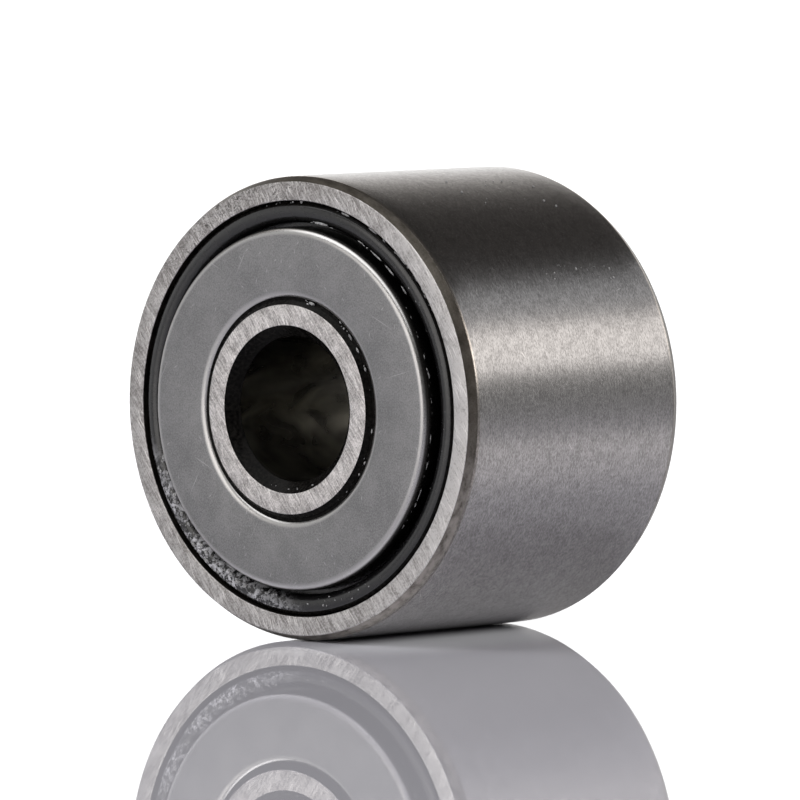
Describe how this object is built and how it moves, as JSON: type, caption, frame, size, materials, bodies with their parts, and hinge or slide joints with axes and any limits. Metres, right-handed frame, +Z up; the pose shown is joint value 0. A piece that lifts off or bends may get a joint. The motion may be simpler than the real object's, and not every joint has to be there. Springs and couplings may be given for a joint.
{
  "type": "cam follower",
  "caption": "Yoke-type cam follower: thick steel outer ring rolling on caged needles around a bored inner ring, with pressed side washers and black sliding seal rings.",
  "frame": {"origin": "the roller's centre, on the bore's axis and midway between the inner ring's end faces", "axes": "+Y along the bore's axis towards the back end, +Z up; the front end is at -Y and the roller lies on its tread"},
  "size_m": [0.016, 0.012, 0.016],
  "materials": {
    "ground_bearing_steel": "ground bearing steel with fine grinding lines, oily dark chamfers",
    "tumbled_washer_steel": "tumbled satin steel with rolled bright edges",
    "lapped_needle_steel": "lapped, near mirror",
    "black_polyamide": "black, glossy with a film of grease",
    "cage_polyamide": "black glass-filled polyamide, satin"
  },
  "bodies": {
    "inner_race": {"inner_ring": "ground_bearing_steel", "side_washer_front": "tumbled_washer_steel", "side_washer_back": "tumbled_washer_steel"},
    "outer_race": {"outer_ring": "ground_bearing_steel", "sliding_ring_front": "black_polyamide", "sliding_ring_back": "black_polyamide"},
    "cage": {"needle_cage": "cage_polyamide"},
    "needle_01": {"needle_01": "lapped_needle_steel"},
    "needle_02": {"needle_02": "lapped_needle_steel"},
    "needle_03": {"needle_03": "lapped_needle_steel"},
    "needle_04": {"needle_04": "lapped_needle_steel"},
    "needle_05": {"needle_05": "lapped_needle_steel"},
    "needle_06": {"needle_06": "lapped_needle_steel"},
    "needle_07": {"needle_07": "lapped_needle_steel"},
    "needle_08": {"needle_08": "lapped_needle_steel"},
    "needle_09": {"needle_09": "lapped_needle_steel"},
    "needle_10": {"needle_10": "lapped_needle_steel"},
    "needle_11": {"needle_11": "lapped_needle_steel"},
    "needle_12": {"needle_12": "lapped_needle_steel"},
    "needle_13": {"needle_13": "lapped_needle_steel"}
  },
  "joints": [
    {"name": "outer_ring_spin", "type": "hinge", "parent": "inner_race", "child": "outer_race", "pos_m": [0, 0, 0], "axis": [0, 1, 0], "continuous": true},
    {"name": "cage_orbit", "type": "hinge", "parent": "inner_race", "child": "cage", "pos_m": [0, 0, 0], "axis": [0, 1, 0], "continuous": true},
    {"name": "needle_01_spin", "type": "hinge", "parent": "cage", "child": "needle_01", "pos_m": [0.00451, 0, 0], "axis": [0, 1, 0], "continuous": true},
    {"name": "needle_02_spin", "type": "hinge", "parent": "cage", "child": "needle_02", "pos_m": [0.00399, 0, -0.00209], "axis": [0, 1, 0], "continuous": true},
    {"name": "needle_03_spin", "type": "hinge", "parent": "cage", "child": "needle_03", "pos_m": [0.00256, 0, -0.00371], "axis": [0, 1, 0], "continuous": true},
    {"name": "needle_04_spin", "type": "hinge", "parent": "cage", "child": "needle_04", "pos_m": [0.00054, 0, -0.00447], "axis": [0, 1, 0], "continuous": true},
    {"name": "needle_05_spin", "type": "hinge", "parent": "cage", "child": "needle_05", "pos_m": [-0.0016, 0, -0.00421], "axis": [0, 1, 0], "continuous": true},
    {"name": "needle_06_spin", "type": "hinge", "parent": "cage", "child": "needle_06", "pos_m": [-0.00337, 0, -0.00299], "axis": [0, 1, 0], "continuous": true},
    {"name": "needle_07_spin", "type": "hinge", "parent": "cage", "child": "needle_07", "pos_m": [-0.00437, 0, -0.00108], "axis": [0, 1, 0], "continuous": true},
    {"name": "needle_08_spin", "type": "hinge", "parent": "cage", "child": "needle_08", "pos_m": [-0.00437, 0, 0.00108], "axis": [0, 1, 0], "continuous": true},
    {"name": "needle_09_spin", "type": "hinge", "parent": "cage", "child": "needle_09", "pos_m": [-0.00337, 0, 0.00299], "axis": [0, 1, 0], "continuous": true},
    {"name": "needle_10_spin", "type": "hinge", "parent": "cage", "child": "needle_10", "pos_m": [-0.0016, 0, 0.00421], "axis": [0, 1, 0], "continuous": true},
    {"name": "needle_11_spin", "type": "hinge", "parent": "cage", "child": "needle_11", "pos_m": [0.00054, 0, 0.00447], "axis": [0, 1, 0], "continuous": true},
    {"name": "needle_12_spin", "type": "hinge", "parent": "cage", "child": "needle_12", "pos_m": [0.00256, 0, 0.00371], "axis": [0, 1, 0], "continuous": true},
    {"name": "needle_13_spin", "type": "hinge", "parent": "cage", "child": "needle_13", "pos_m": [0.00399, 0, 0.00209], "axis": [0, 1, 0], "continuous": true}
  ],
  "couplings": [
    {"joint": "cage_orbit", "follows": "outer_ring_spin", "ratio": 0.5838},
    {"joint": "needle_01_spin", "follows": "outer_ring_spin", "ratio": 2.9229},
    {"joint": "needle_02_spin", "follows": "outer_ring_spin", "ratio": 2.9229},
    {"joint": "needle_03_spin", "follows": "outer_ring_spin", "ratio": 2.9229},
    {"joint": "needle_04_spin", "follows": "outer_ring_spin", "ratio": 2.9229},
    {"joint": "needle_05_spin", "follows": "outer_ring_spin", "ratio": 2.9229},
    {"joint": "needle_06_spin", "follows": "outer_ring_spin", "ratio": 2.9229},
    {"joint": "needle_07_spin", "follows": "outer_ring_spin", "ratio": 2.9229},
    {"joint": "needle_08_spin", "follows": "outer_ring_spin", "ratio": 2.9229},
    {"joint": "needle_09_spin", "follows": "outer_ring_spin", "ratio": 2.9229},
    {"joint": "needle_10_spin", "follows": "outer_ring_spin", "ratio": 2.9229},
    {"joint": "needle_11_spin", "follows": "outer_ring_spin", "ratio": 2.9229},
    {"joint": "needle_12_spin", "follows": "outer_ring_spin", "ratio": 2.9229},
    {"joint": "needle_13_spin", "follows": "outer_ring_spin", "ratio": 2.9229}
  ]
}
